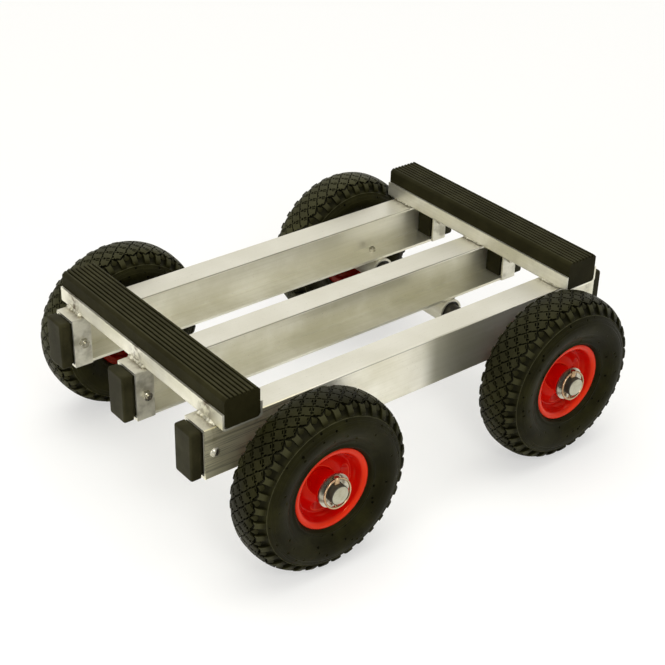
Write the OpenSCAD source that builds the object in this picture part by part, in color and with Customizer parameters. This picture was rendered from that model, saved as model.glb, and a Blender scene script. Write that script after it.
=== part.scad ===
// Piano dolly: three aluminium channel rails, two padded crossbars, two plain axles
// and four pneumatic wheels held by lynch pins.
// X runs along the rails (front is -X), Y across (left is -Y), Z up, floor at z = 0.

/* [Rails] */
// Length of each rail
rail_len = 710; // [560:10:1000]
// Height of the rail channel
rail_h = 76; // [64:1:100]
// Width of the rail channel across its flanges
rail_w = 43; // [38:1:55]
// Wall of the rail channel
rail_t = 4; // [3:0.5:6]
// Outer corner radius of the rail channel
rail_corner = 2; // [1:0.5:3]
// Width over the two outer rails
frame_w = 380; // [300:2:460]

/* [Crossbars] */
// Distance between the middles of the two crossbars
bar_spacing = 614; // [520:2:640]
// Width of the crossbar channel
bar_w = 62; // [50:1:80]
// Height of the crossbar channel
bar_h = 25; // [18:1:40]
// Wall of the crossbar channel
bar_t = 3; // [2:0.5:5]
// Outer corner radius of the crossbar channel
bar_corner = 5; // [4:0.5:8]
// How far each crossbar runs past the outer rails
bar_overhang = 15; // [8:1:30]

/* [Pads] */
// Height of the rubber pad above the crossbar's flanges
pad_rise = 23; // [12:1:40]
// Gap between the pad and each flange
pad_gap = 0.5; // [0.2:0.1:1]
// Chamfer along the pad's two long top edges
pad_chamfer = 4.5; // [2:0.5:6]
// Number of grooves along the pad
groove_count = 7; // [3:1:7]
// Distance between grooves
groove_pitch = 6.5; // [5:0.1:6.8]
// Width of a groove
groove_w = 2.4; // [1.5:0.1:3.5]
// Depth of a groove
groove_depth = 3; // [1:0.1:4]

/* [Buffers] */
// How far a buffer's head stands out of the rail
buffer_out = 19; // [10:1:40]
// Length of the neck between a buffer's head and the rail's end
neck_len = 3.5; // [2:0.5:6]
// Edge rounding of a buffer's head
buffer_round = 5; // [2:0.5:8]
// Length of the closing plate and of the plug behind it
plate_len = 28; // [24:1:40]
// Thickness of the closing plate
plate_t = 3; // [2:0.5:5]
// Distance of the buffer bolt from the rail's end
bolt_inset = 15; // [13:1:18]
// Diameter of the buffer bolt
bolt_d = 8; // [6:1:10]

/* [Axles] */
// Distance between the two axles
wheelbase = 436; // [400:2:500]
// Diameter of the axle bar
axle_d = 28; // [24:0.5:30]
// Outer diameter of the axle sleeves
sleeve_d = 42; // [40:0.5:48]
// Wall of the axle sleeves
sleeve_t = 3.2; // [2:0.1:4]
// How far a sleeve's mouth stands proud of the rail's flanges
sleeve_proud = 3.5; // [1:0.5:6]
// Length of a plastic axle bush
bush_len = 14; // [8:1:18]
// Running clearance around the axle
run_gap = 0.1; // [0.05:0.01:0.3]
// Diameter of the axle washers
washer_d = 50; // [46:1:54]
// Thickness of the axle washers
washer_t = 2.5; // [1.5:0.1:4]
// Side play between a hub and each washer
side_play = 0.4; // [0.2:0.1:1]

/* [Wheels] */
// Outer diameter of the tyre
wheel_d = 260; // [250:1:280]
// Width of the tyre
tyre_w = 85; // [80:1:92]
// Gap between a crossbar's end and the tyre beside it
tyre_gap = 3; // [2:0.5:20]
// Depth of the tread
tread_depth = 5; // [2:0.5:6]
// Number of lugs around the tyre
lug_count = 36; // [24:1:40]
// Outer diameter of the rim's flange
rim_d = 120; // [116:1:124]
// Length of the hub tube
hub_len = 58; // [56:1:60]
// Number of round pockets pressed into the rim
pocket_count = 3; // [3:1:3]
// Number of rollers in a bearing
roller_count = 8; // [6:1:8]

/* [Lynch pins] */
// Diameter of the pin
pin_d = 5; // [4:0.5:6]
// Distance of the pin from the axle's end
pin_inset = 8.5; // [8:0.5:10]
// Gap between the outer washer and the pin's head
pin_play = 1; // [0.5:0.25:3]
// Middle diameter of the spring ring
ring_d = 42; // [40:1:46]
// Thickness of the ring's wire
wire_d = 3; // [2:0.25:3]
// Side of the pin's head
head_d = 8; // [7:0.5:10]

/* [Hidden] */

// Each corner: name, side along X, side along Y, and how far its tyre and its rim stand turned about
// the axle, in degrees from +X towards +Z
CORNERS = [
    ["front_left", -1, -1, 9.8, 130], ["front_right", -1, 1, 2, 20],
    ["rear_left", 1, -1, 4, 140], ["rear_right", 1, 1, 7, 75]
];
// Each rail: name and number
RAILS = [["left", 0], ["middle", 1], ["right", 2]];
ENDS = [["front", -1], ["rear", 1]];
ROUND = 64;
SMALL = 32;
EPS = 0.01;

wheel_r = wheel_d / 2;
axle_z = wheel_r;
sleeve_r = sleeve_d / 2;
sleeve_bore = sleeve_r - sleeve_t;
rail_z = axle_z + sleeve_r;
bar_z = rail_z + rail_h;
bar_len = frame_w + 2 * bar_overhang;

// Along the axle: the tyre stands clear of the crossbar, and washers stand on both sides of the hub
wheel_y = bar_len / 2 + tyre_gap + tyre_w / 2;
washer_z = hub_len / 2 + side_play;
sleeve_out = wheel_y - washer_z - washer_t;
pin_y = wheel_y + washer_z + washer_t + pin_play + head_d / 2;
axle_len = 2 * (pin_y + pin_inset);

// Lock screws through the outer rails' lower flange
lock_d = 6;
lock_y = rail_w / 2 - 3.5;
// How much narrower a buffer's neck is on each side of its head
neck_in = 3.5;

// Tyre section: a flat crown arc, two side arcs and the space for the inner tube
tread_half = tyre_w / 2 - 6.5;
crown_drop = 5;
crown_r = (tread_half * tread_half + crown_drop * crown_drop) / (2 * crown_drop);
side_z = 10;
side_arc = tyre_w / 2 - side_z;
side_c = wheel_r - side_arc - 0.5;
tyre_wall = 6;
bead_in = 17.5;
lug_share = 0.58;
groove_at = [6, 18];
tread_groove = 2.8;

// Rim section, outer half, from the joint between the halves at z = 0
rim_r = rim_d / 2;
seat_r = 50.6;
well_r = 46.2;
well_z = 14.5;
valve_tilt = 38;
rim_wall = 3;
wall_r = well_r - rim_wall;
hub_r = 22.5;
nose_r = 25.4;
nose_z = hub_len / 2 - 0.1;
flange_z = 26.2;
dish_z = 10.5;
pocket_r = 21;
pocket_c = 25.5;
pocket_z = 30;
screw_r = 36;
screw_d = 5;
screw_seat = 11;
axle_hole = axle_d / 2 + run_gap;
roller_r = (hub_r - 3.5 - axle_d / 2 - 2 * run_gap) / 2;
roller_c = axle_d / 2 + run_gap + roller_r;
roller_len = hub_len - 10;

// Lynch pin: the ring hangs in the head and its foot passes outside the pin's tip
ring_z = axle_z + ring_d / 2;
ring_tilt = asin((pin_d / 2 + wire_d / 2 + 0.6) / ring_d);

module at_rail(k) {
    y0 = [-frame_w / 2, rail_w / 2, frame_w / 2][k];
    translate([0, y0, rail_z]) mirror([0, k == 0 ? 0 : 1, 0]) children();
}

module at_end(side) {
    mirror([side < 0 ? 1 : 0, 0, 0]) translate([rail_len / 2, 0, 0]) children();
}

// A wheel's own frame: z out of the wheel, turned about it by an angle from +X towards +Z
module at_wheel(c, turn = 0) {
    translate([c[1] * wheelbase / 2, c[2] * wheel_y, axle_z]) rotate([-90 * c[2], 0, 0])
        rotate(-c[2] * turn) children();
}

module tube(r_out, r_in, len) {
    difference() {
        cylinder(r = r_out, h = len, center = true, $fn = ROUND);
        cylinder(r = r_in, h = len + 1, center = true, $fn = ROUND);
    }
}

module tube_ring(r_in, r_out, z0, z1) {
    rotate_extrude($fn = ROUND) translate([r_in, z0]) square([r_out - r_in, z1 - z0]);
}

// A bar lying along Y, from y0 to y1, in the XZ plane of its children
module along_y(y0, y1) {
    translate([0, y1, 0]) rotate([90, 0, 0]) linear_extrude(y1 - y0) children();
}

module rounded_rect(w, h, r) {
    translate([r, 0]) square([w - 2 * r, h]);
    translate([0, r]) square([w, h - 2 * r]);
    for (x = [r, w - r], y = [r, h - r]) translate([x, y]) circle(r, $fn = SMALL);
}

// Channel lying on its back: w across the web, h up the flanges, open at the top
module channel_section(w, h, t, r) {
    inner = max(r - t / 2, 0.5);
    difference() {
        union() {
            translate([-w / 2, 0]) rounded_rect(w, 2 * r, r - EPS);
            translate([-w / 2, r]) square([w, h - r]);
        }
        translate([-w / 2 + t, t + inner]) square([w - 2 * t, h]);
        translate([-w / 2 + t, t]) rounded_rect(w - 2 * t, 2 * inner + 1, inner);
    }
}

// One rail in its own frame: web outer face at y = 0, opening towards +Y
module rail_body(k) {
    difference() {
        translate([-rail_len / 2, 0, rail_h / 2]) rotate([90, 0, 90])
            rotate(-90) linear_extrude(rail_len) channel_section(rail_h, rail_w, rail_t, rail_corner);
        for (e = ENDS) at_end(e[1]) translate([-bolt_inset, 0, rail_h / 2]) rotate([90, 0, 0])
            cylinder(d = bolt_d + 0.4, h = 4 * rail_t, center = true, $fn = SMALL);
        if (k != 1) for (e = ENDS) translate([e[1] * wheelbase / 2, lock_y, 0])
            cylinder(d = lock_d, h = 3 * rail_t, center = true, $fn = SMALL);
    }
}

module rail(k) {
    color("lightgray") at_rail(k) rail_body(k);
}

module crossbar(side) {
    color("gainsboro") translate([side * bar_spacing / 2, 0, bar_z]) along_y(-bar_len / 2, bar_len / 2)
        channel_section(bar_w, bar_h, bar_t, bar_corner);
}

// The pad fills the crossbar and stands above it, with grooves along its length
module pad(side) {
    w = bar_w - 2 * bar_t - 2 * pad_gap;
    h = bar_h - bar_t + pad_rise;
    foot = bar_corner - bar_t / 2 + pad_gap;
    color([0.13, 0.13, 0.11]) translate([side * bar_spacing / 2, 0, bar_z + bar_t])
        along_y(-bar_len / 2, bar_len / 2) difference() {
            polygon([
                [-w / 2 + foot, 0], [w / 2 - foot, 0], [w / 2, foot], [w / 2, h - pad_chamfer],
                [w / 2 - pad_chamfer, h], [-w / 2 + pad_chamfer, h], [-w / 2, h - pad_chamfer], [-w / 2, foot]
            ]);
            for (i = [0 : groove_count - 1])
                translate([(i - (groove_count - 1) / 2) * groove_pitch - groove_w / 2, h - groove_depth])
                    square([groove_w, groove_depth + 1]);
        }
}

// Weld beads in the corners between the crossbars and the rails
module crossbar_welds() {
    bead = 3.6;
    color("silver") for (e = ENDS, s = [-1, 1], k = [0 : 2]) at_rail(k)
        translate([e[1] * bar_spacing / 2, 0, rail_h]) difference() {
            translate([s * (bar_w / 2 - 0.3), rail_w / 2, 1]) rotate([90, 0, 0])
                cylinder(r = bead, h = rail_w - 6, center = true, $fn = SMALL);
            along_y(-1, rail_w + 1) translate([-bar_w / 2, 0]) rounded_rect(bar_w, bar_h, bar_corner - EPS);
            translate([-bar_w, -1, -2 * bead]) cube([2 * bar_w, rail_w + 2, 2 * bead]);
        }
}

// Sleeves: one under each rail, from just past the flanges; the outer ones reach the wheel's washer
function sleeve_span(k) = k == 1
    ? [-rail_w / 2 - sleeve_proud, rail_w / 2 + sleeve_proud]
    : [frame_w / 2 - rail_w - sleeve_proud, sleeve_out];

module sleeve_at(e, k) {
    span = sleeve_span(k);
    translate([e * wheelbase / 2, 0, axle_z]) mirror([0, k == 0 ? 1 : 0, 0])
        translate([0, (span[0] + span[1]) / 2, 0]) rotate([90, 0, 0]) children();
}

module axle_sleeves() {
    color("silver") for (e = [-1, 1], k = [0 : 2]) difference() {
        sleeve_at(e, k) tube(sleeve_r, sleeve_bore, sleeve_span(k)[1] - sleeve_span(k)[0]);
        if (k != 1) at_rail(k) translate([e * wheelbase / 2, lock_y, -sleeve_t])
            cylinder(d = lock_d, h = 4 * sleeve_t, center = true, $fn = SMALL);
    }
}

module axle_bushes() {
    color([0.12, 0.12, 0.11]) for (e = [-1, 1], k = [0 : 2], s = [-1, 1]) sleeve_at(e, k)
        translate([0, 0, s * ((sleeve_span(k)[1] - sleeve_span(k)[0]) / 2 - 2 - bush_len / 2)])
            tube(sleeve_bore, axle_hole, bush_len);
}

module sleeve_welds() {
    bead = 3;
    color("silver") for (e = [-1, 1], s = [-1, 1], k = [0 : 2]) at_rail(k)
        translate([e * wheelbase / 2, 0, 0]) difference() {
            translate([s * 11.5, rail_w / 2, -1.2]) rotate([90, 0, 0])
                cylinder(r = bead, h = rail_w - 4, center = true, $fn = SMALL);
            translate([0, rail_w / 2, -sleeve_r]) rotate([90, 0, 0])
                cylinder(r = sleeve_r, h = rail_w, center = true, $fn = ROUND);
            translate([-sleeve_r, -1, 0]) cube([2 * sleeve_r, rail_w + 2, 2 * bead]);
        }
}

// Lock screws press on the axle through the outer rails' lower flange
module lock_screws() {
    color("silver") for (e = [-1, 1], k = [0, 2]) at_rail(k)
        translate([e * wheelbase / 2, lock_y, -sleeve_r + axle_d / 2]) difference() {
            cylinder(d = lock_d, h = sleeve_r - axle_d / 2 + rail_t + 7, $fn = SMALL);
            translate([0, 0, sleeve_r - axle_d / 2 + rail_t + 4]) cylinder(d = 3.4, h = 4, $fn = 6);
        }
}

module hex_nut(af, h, bore) {
    difference() {
        intersection() {
            cylinder(d = af / cos(30), h = h, $fn = 6);
            translate([0, 0, -af / 2 + h]) cylinder(r1 = af, r2 = af / 2, h = af / 2, $fn = SMALL);
        }
        translate([0, 0, -1]) cylinder(d = bore, h = h + 2, $fn = SMALL);
    }
}

module lock_nuts() {
    color("silver") for (e = [-1, 1], k = [0, 2]) at_rail(k)
        translate([e * wheelbase / 2, lock_y, rail_t]) hex_nut(10, 5, lock_d);
}

// Buffer in the rail's frame: a head outside the rail, a neck behind it, and a plug between the web
// and the closing plate
module buffer_body() {
    head_w = rail_w - rail_t;
    head_h = rail_h - 2;
    plug_h = rail_h - 2 * rail_t - 2;
    difference() {
        union() {
            intersection() {
                translate([0, rail_t, rail_h / 2 - head_h / 2]) linear_extrude(head_h)
                    difference() {
                        translate([-buffer_out, 0]) rounded_rect(2 * buffer_out, head_w, buffer_round - 2);
                        translate([-2 * buffer_out, -1]) square([2 * buffer_out + neck_len, head_w + 2]);
                    }
                translate([-buffer_out, rail_w + 1, rail_h / 2 - head_h / 2]) rotate([90, 0, 0])
                    linear_extrude(rail_w + 2) rounded_rect(2 * buffer_out, head_h, buffer_round);
            }
            translate([-plate_len, rail_t, rail_t + 1]) cube([plate_len, head_w, plug_h]);
            translate([-1, rail_t + neck_in, rail_t + 1])
                cube([neck_len + 1 + EPS, head_w - 2 * neck_in, plug_h]);
        }
        translate([-bolt_inset, 0, rail_h / 2]) rotate([90, 0, 0])
            cylinder(d = bolt_d + 0.4, h = 3 * rail_w, center = true, $fn = SMALL);
    }
}

module buffer(side, k) {
    color([0.16, 0.16, 0.14]) at_rail(k) at_end(side) buffer_body();
}

// Closing plates lie on the flange tips and clamp the plug
module closing_plates() {
    color("silver") for (e = ENDS, k = [0 : 2]) at_rail(k) at_end(e[1])
        translate([-plate_len, rail_w + plate_t, 0]) rotate([90, 0, 0]) linear_extrude(plate_t) difference() {
            square([plate_len, rail_h]);
            translate([plate_len - bolt_inset, rail_h / 2]) circle(d = bolt_d + 0.4, $fn = SMALL);
        }
}

// Dome headed bolts run in from the web and take a nut outside the closing plate
module buffer_bolts() {
    dome_d = 15;
    dome_h = 4.5;
    dome_r = (dome_d * dome_d / 4 + dome_h * dome_h) / (2 * dome_h);
    len = rail_w + plate_t + bolt_d * 0.8 + 3;
    color("gainsboro") for (e = ENDS, k = [0 : 2]) at_rail(k) at_end(e[1])
        translate([-bolt_inset, 0, rail_h / 2]) rotate([-90, 0, 0]) {
            cylinder(d = bolt_d, h = len, $fn = SMALL);
            intersection() {
                translate([0, 0, dome_r - dome_h]) sphere(dome_r, $fn = ROUND);
                translate([0, 0, -dome_h]) cylinder(d = dome_d + 2, h = dome_h, $fn = ROUND);
            }
        }
}

module buffer_nuts() {
    color("gainsboro") for (e = ENDS, k = [0 : 2]) at_rail(k) at_end(e[1])
        translate([-bolt_inset, rail_w + plate_t, rail_h / 2]) rotate([-90, 0, 0])
            hex_nut(1.6 * bolt_d, 0.8 * bolt_d, bolt_d);
}

module axle(side) {
    color([0.35, 0.35, 0.33]) translate([side * wheelbase / 2, 0, axle_z]) difference() {
        rotate([90, 0, 0]) {
            cylinder(d = axle_d, h = axle_len - 2, center = true, $fn = ROUND);
            for (s = [0, 180]) rotate([s, 0, 0]) translate([0, 0, axle_len / 2 - 1])
                cylinder(d1 = axle_d, d2 = axle_d - 2, h = 1, $fn = ROUND);
        }
        for (s = [-1, 1]) translate([0, s * pin_y, 0])
            cylinder(d = pin_d + 0.3, h = 2 * axle_d, center = true, $fn = SMALL);
    }
}

module axle_washers() {
    color("silver") for (c = CORNERS, s = [-1, 1]) at_wheel(c)
        translate([0, 0, s * (washer_z + washer_t / 2)]) tube(washer_d / 2, axle_hole + 0.1, washer_t);
}

// The pin stands through the axle, its head on top with a cross hole for the ring
module lynch_pin(c) {
    head_h = 11;
    color("gainsboro") translate([c[1] * wheelbase / 2, c[2] * pin_y, axle_z]) difference() {
        union() {
            translate([0, 0, -ring_d / 2 - 3]) cylinder(d = pin_d, h = ring_d, $fn = SMALL);
            translate([0, 0, -ring_d / 2 - 5]) cylinder(d1 = pin_d - 2, d2 = pin_d, h = 2, $fn = SMALL);
            translate([0, 0, axle_d / 2 + 0.1]) cylinder(d = head_d, h = head_h - 1, $fn = SMALL);
            translate([0, 0, axle_d / 2 + head_h - 0.9])
                cylinder(d1 = head_d, d2 = head_d - 2, h = 1, $fn = SMALL);
        }
        translate([0, 0, ring_z - axle_z]) rotate([0, 90, 0])
            cylinder(d = wire_d + 1, h = 2 * head_d, center = true, $fn = SMALL);
    }
}

module lynch_ring(c) {
    color("gainsboro") translate([c[1] * wheelbase / 2, c[2] * pin_y, ring_z])
        rotate([c[2] * ring_tilt, 0, 0]) translate([0, 0, -ring_d / 2]) rotate([90, 0, 0])
            rotate_extrude($fn = ROUND) translate([ring_d / 2, 0]) circle(d = wire_d, $fn = SMALL);
}

// Points of an arc, in section: centre (cr, cz), radius r, from angle a0 to a1 in n steps
function arc(cr, cz, r, a0, a1, n) =
    [for (i = [0 : n]) let(a = a0 + (a1 - a0) * i / n) [cr + r * cos(a), cz + r * sin(a)]];
function crown_at(z, drop) = wheel_r - crown_r + sqrt(pow(crown_r - drop, 2) - z * z);
function flip(pts) = [for (i = [len(pts) - 1 : -1 : 0]) [pts[i][0], -pts[i][1]]];

// Outside of one half of the tyre, from the crown round the shoulder to the bead
function outside() = concat(
    [[wheel_r, 0.25 * tread_half]],
    [for (z = [0.5, 0.75, 1]) [crown_at(z * tread_half, 0), z * tread_half]],
    [[wheel_r - 12, tyre_w / 2 - 1.6], [wheel_r - 20, tyre_w / 2 - 0.1]],
    arc(side_c, side_z, side_arc, 90, 128, 5),
    [[rim_r + 9, flange_z + 6.2], [rim_r + 5, flange_z + 6.8], [rim_r + 2, flange_z + 4.8],
     [rim_r + 0.5, flange_z], [seat_r + 3, flange_z - 0.4], [seat_r, flange_z - 1.6], [seat_r, bead_in]]);

// Inside of one half, from the bead up to under the crown, moved in by g
function inside(g) = concat(
    [[side_c - 30 + g, bead_in - g]],
    arc(side_c, side_z, side_arc - tyre_wall - g, 156, 75, 7),
    [[crown_at(side_z, tread_depth + tyre_wall + g), side_z]]);

module tyre_section() {
    polygon(concat(outside(), inside(0), flip(inside(0)), flip(outside())));
}

// The inner tube's section fills the tyre down to the rim's well, smaller by g all round
module tube_space(g) {
    half = concat([[well_r + g, bead_in - 3 - g], [seat_r + g, bead_in - g]], inside(g));
    polygon(concat(half, flip(half)));
}

// Wedge shaped slots all round, reaching out from radius r; share is the part of the pitch left
// standing, and shift turns them by a share of the pitch
module slots(r, share, shift) {
    pitch = 360 / lug_count;
    half = (1 - share) * pitch / 2;
    far = wheel_r + 10;
    for (i = [0 : lug_count - 1]) rotate((i + 0.5 + shift) * pitch)
        polygon([
            [r * cos(half), -r * sin(half)], [far * cos(half), -far * sin(half)],
            [far * cos(half), far * sin(half)], [r * cos(half), r * sin(half)]
        ]);
}

module slot_row(z0, z1, r, share, shift) {
    translate([0, 0, z0]) linear_extrude(z1 - z0) slots(r, share, shift);
}

// The tyre is cut from its full section: grooves round the crown part it into rows, and the slots
// across each row stand half a pitch off those of the next one
module tyre() {
    base = wheel_r - tread_depth;
    color([0.12, 0.12, 0.11]) difference() {
        rotate_extrude($fn = 2 * ROUND) tyre_section();
        slot_row(-groove_at[0], groove_at[0], base + 1, 0.74, 0);
        for (s = [0, 1]) mirror([0, 0, s]) {
            slot_row(groove_at[0], groove_at[1], base + 1, 0.74, 0.5);
            slot_row(groove_at[1], tyre_w, base - 2, lug_share, 0);
            slot_row(tread_half - 2, tyre_w, base - 9, lug_share + 0.06, 0);
        }
        rotate_extrude($fn = 2 * ROUND) for (s = [-1, 1], z = groove_at)
            translate([base, s * z - tread_groove / 2]) square([2 * tread_depth, tread_groove]);
    }
}

// The inner tube with its valve, which comes out through the inner rim half
module valve_axis() {
    translate([well_r - 1, 0, 1 - well_z]) rotate([0, -90 - valve_tilt, 0]) children();
}

module inner_tube() {
    color([0.1, 0.1, 0.1]) difference() {
        union() {
            rotate_extrude($fn = 2 * ROUND) difference() {
                tube_space(0.2);
                tube_space(2.2);
            }
            valve_axis() translate([0, 0, -4]) cylinder(d = 8, h = 16, $fn = SMALL);
            valve_axis() translate([0, 0, 11]) cylinder(d = 5, h = 9, $fn = SMALL);
        }
        valve_axis() translate([0, 0, -12]) cylinder(d = 2.4, h = 40, $fn = SMALL);
    }
}

// Face of the dish, between the nose and the well, lowered by g
function dish_at(r, g) = dish_z - g + (nose_z - 0.7 - dish_z) * (wall_r - r) / (wall_r - nose_r);

// Section of one pressed half without its pockets: nose, dish, well and flange
module half_section() {
    polygon([
        [hub_r, 0], [hub_r, nose_z], [nose_r, nose_z], [nose_r, dish_at(nose_r, 0)],
        [wall_r, dish_at(wall_r, 0)], [wall_r, well_z], [seat_r - rim_wall, bead_in + 1.5],
        [seat_r - rim_wall + 0.4, flange_z - 2.5], [seat_r, flange_z + 0.8],
        [rim_r - 3, flange_z + 2.6], [rim_r - 1.2, flange_z + 2.6], [rim_r, flange_z + 1.6],
        [rim_r, flange_z - 0.03], [seat_r + 3, flange_z - 0.4], [seat_r, flange_z - 1.6],
        [seat_r, bead_in], [well_r, well_z], [well_r, 0], [wall_r, 0],
        [wall_r, dish_at(wall_r, 6)], [nose_r, dish_at(nose_r, 6)], [nose_r, 0]
    ]);
}

module under_dish() {
    rotate_extrude($fn = ROUND) polygon([
        [nose_r - 1.5, 1], [wall_r + 1.5, 1], [wall_r + 1.5, dish_at(wall_r + 1.5, 1.5)],
        [nose_r - 1.5, dish_at(nose_r - 1.5, 1.5)]
    ]);
}

// Pocket in the dish: a round bowl with a broad bevel, larger by g
module bowl(g) {
    r = pocket_r + g;
    low = pocket_z - pocket_r - g;
    translate([0, 0, low]) cylinder(r1 = r - 9, r2 = r, h = 10, $fn = ROUND);
    translate([0, 0, low + 10]) cylinder(r = r, h = 25, $fn = ROUND);
}

module at_pocket(i) {
    rotate(i * 360 / pocket_count) translate([pocket_c, 0, 0]) children();
}

module at_screws() {
    for (i = [0 : pocket_count - 1]) rotate((i + 0.5) * 360 / pocket_count)
        translate([screw_r, 0, 0]) children();
}

module rim_half(inner) {
    difference() {
        union() {
            rotate_extrude($fn = ROUND) half_section();
            for (i = [0 : pocket_count - 1]) intersection() {
                at_pocket(i) bowl(rim_wall);
                under_dish();
            }
            intersection() {
                at_screws() cylinder(r = screw_d + 1.5, h = 30, $fn = SMALL);
                under_dish();
            }
        }
        for (i = [0 : pocket_count - 1]) difference() {
            at_pocket(i) bowl(0);
            cylinder(r = nose_r, h = 60, $fn = ROUND);
        }
        if (inner) {
            at_screws() translate([0, 0, -1]) cylinder(d = screw_d, h = 40, $fn = SMALL);
            at_screws() translate([0, 0, screw_seat]) cylinder(d = 2 * screw_d - 0.5, h = 20, $fn = SMALL);
            mirror([0, 0, 1]) valve_axis() translate([0, 0, -8]) cylinder(d = 8.6, h = 22, $fn = SMALL);
        } else {
            at_screws() translate([0, 0, -1]) cylinder(d = screw_d, h = screw_seat - 1, $fn = SMALL);
        }
    }
}

module rim_outer() {
    color([0.8, 0.05, 0.06]) rim_half(false);
}

module rim_inner() {
    color([0.8, 0.05, 0.06]) mirror([0, 0, 1]) rim_half(true);
}

module rim_screws() {
    color("silver") for (i = [0 : pocket_count - 1]) rotate((i + 0.5) * 360 / pocket_count)
        translate([screw_r, 0, -screw_seat]) {
            cylinder(d = screw_d, h = 2 * screw_seat - 2.5, $fn = SMALL);
            difference() {
                translate([0, 0, -4]) cylinder(d = 1.8 * screw_d, h = 4, $fn = SMALL);
                translate([0, 0, -5]) cylinder(d = 4, h = 3.5, $fn = 6);
            }
        }
}

// Hub: a steel tube with a plastic roller cage and its rollers running on the axle
module hub() {
    inner = hub_r - 3.5;
    color("silver") tube(hub_r, inner, hub_len);
    color([0.9, 0.9, 0.85]) difference() {
        tube(inner - 0.4, axle_d / 2 + 0.8, hub_len - 2);
        for (i = [0 : roller_count - 1]) rotate(i * 360 / roller_count) translate([roller_c, 0, 0])
            cylinder(r = roller_r + 0.15, h = roller_len + 0.4, center = true, $fn = SMALL);
    }
    color("gainsboro") for (i = [0 : roller_count - 1]) rotate(i * 360 / roller_count)
        translate([roller_c, 0, 0]) cylinder(r = roller_r, h = roller_len, center = true, $fn = SMALL);
}

for (r = RAILS) rail(r[1]);
for (e = ENDS) {
    crossbar(e[1]);
    pad(e[1]);
    axle(e[1]);
    for (r = RAILS) buffer(e[1], r[1]);
}
crossbar_welds();
sleeve_welds();
closing_plates();
buffer_bolts();
buffer_nuts();
axle_sleeves();
axle_bushes();
lock_screws();
lock_nuts();
axle_washers();
for (c = CORNERS) {
    lynch_pin(c);
    lynch_ring(c);
    at_wheel(c, c[3]) tyre();
    at_wheel(c, c[4]) inner_tube();
    at_wheel(c, c[4]) rim_outer();
    at_wheel(c, c[4]) rim_inner();
    at_wheel(c, c[4]) rim_screws();
    at_wheel(c) hub();
}
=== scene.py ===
"""Looks of the piano dolly: brushed aluminium frame, ribbed rubber pads and buffers, welds,
pneumatic wheels with red pressed rims. X runs along the rails (front is -X), Y across (left is -Y),
Z up, metres. The tables and helpers of tyres and rims work in millimetres, and wheel_place turns
them into metres."""
import math
import bpy
import numpy as np
from mathutils import Matrix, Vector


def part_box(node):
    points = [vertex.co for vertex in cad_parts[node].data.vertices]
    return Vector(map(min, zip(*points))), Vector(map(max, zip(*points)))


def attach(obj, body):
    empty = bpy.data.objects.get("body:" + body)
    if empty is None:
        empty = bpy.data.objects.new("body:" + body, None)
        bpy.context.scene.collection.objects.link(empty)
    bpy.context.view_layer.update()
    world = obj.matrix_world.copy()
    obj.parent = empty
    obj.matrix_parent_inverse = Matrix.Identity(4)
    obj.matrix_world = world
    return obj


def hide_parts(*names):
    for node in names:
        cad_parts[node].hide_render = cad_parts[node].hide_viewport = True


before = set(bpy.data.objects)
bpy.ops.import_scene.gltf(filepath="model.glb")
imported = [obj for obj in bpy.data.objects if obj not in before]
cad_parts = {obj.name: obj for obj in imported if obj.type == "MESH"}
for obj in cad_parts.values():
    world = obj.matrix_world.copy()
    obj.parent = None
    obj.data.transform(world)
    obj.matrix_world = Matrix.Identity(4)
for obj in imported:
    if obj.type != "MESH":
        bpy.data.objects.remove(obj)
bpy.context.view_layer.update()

MM = 0.001
CORNERS = {"front_left": (-1, -1), "front_right": (-1, 1), "rear_left": (1, -1), "rear_right": (1, 1)}
ENDS = {"front": -1, "rear": 1}
RAILS = ("left", "middle", "right")

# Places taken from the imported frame
rail_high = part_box("rail_middle")[1]
bar_low, bar_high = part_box("crossbar_rear")
PAD_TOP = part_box("pad_rear")[1][2]
axle_low, axle_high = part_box("axle_rear")
WHEEL_X = (axle_low[0] + axle_high[0]) / 2
WHEEL_Z = (axle_low[2] + axle_high[2]) / 2
tyre_low, tyre_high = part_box("tyre_rear_right")
WHEEL_Y = (tyre_low[1] + tyre_high[1]) / 2
TYRE_R = WHEEL_Z
TYRE_HALF = (tyre_high[1] - tyre_low[1]) / 2
BAR_X = (bar_low[0] + bar_high[0]) / 2
HALF_BAR = (bar_high[0] - bar_low[0]) / 2
RAIL_END = rail_high[0]
RAIL_TOP = rail_high[2]
NEAR_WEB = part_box("rail_left")[0][1]


class Wire:
    """One socket of a node tree, so that shader maths reads as plain arithmetic."""

    def __init__(self, tree, socket):
        self.tree = tree
        self.socket = socket

    def math(self, operation, *others):
        return arithmetic(self.tree, operation, self, *others)

    def __add__(self, other):
        return self.math("ADD", other)

    def __radd__(self, other):
        return self.math("ADD", other)

    def __sub__(self, other):
        return self.math("SUBTRACT", other)

    def __rsub__(self, other):
        return arithmetic(self.tree, "SUBTRACT", other, self)

    def __mul__(self, other):
        return self.math("MULTIPLY", other)

    def __rmul__(self, other):
        return self.math("MULTIPLY", other)

    def __truediv__(self, other):
        return self.math("DIVIDE", other)

    def __pow__(self, other):
        return self.math("POWER", other)

    def __abs__(self):
        return self.math("ABSOLUTE")

    def clamp(self):
        return self.math("MAXIMUM", 0.0).math("MINIMUM", 1.0)

    def step(self, low, high):
        """Smooth step from 0 at low to 1 at high, which may lie below low."""
        node = self.tree.nodes.new("ShaderNodeMapRange")
        node.interpolation_type = "SMOOTHSTEP"
        plug(self.tree, node.inputs["Value"], self)
        node.inputs["From Min"].default_value = min(low, high)
        node.inputs["From Max"].default_value = max(low, high)
        node.inputs["To Min"].default_value = 0.0 if low < high else 1.0
        node.inputs["To Max"].default_value = 1.0 if low < high else 0.0
        return Wire(self.tree, node.outputs["Result"])


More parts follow.
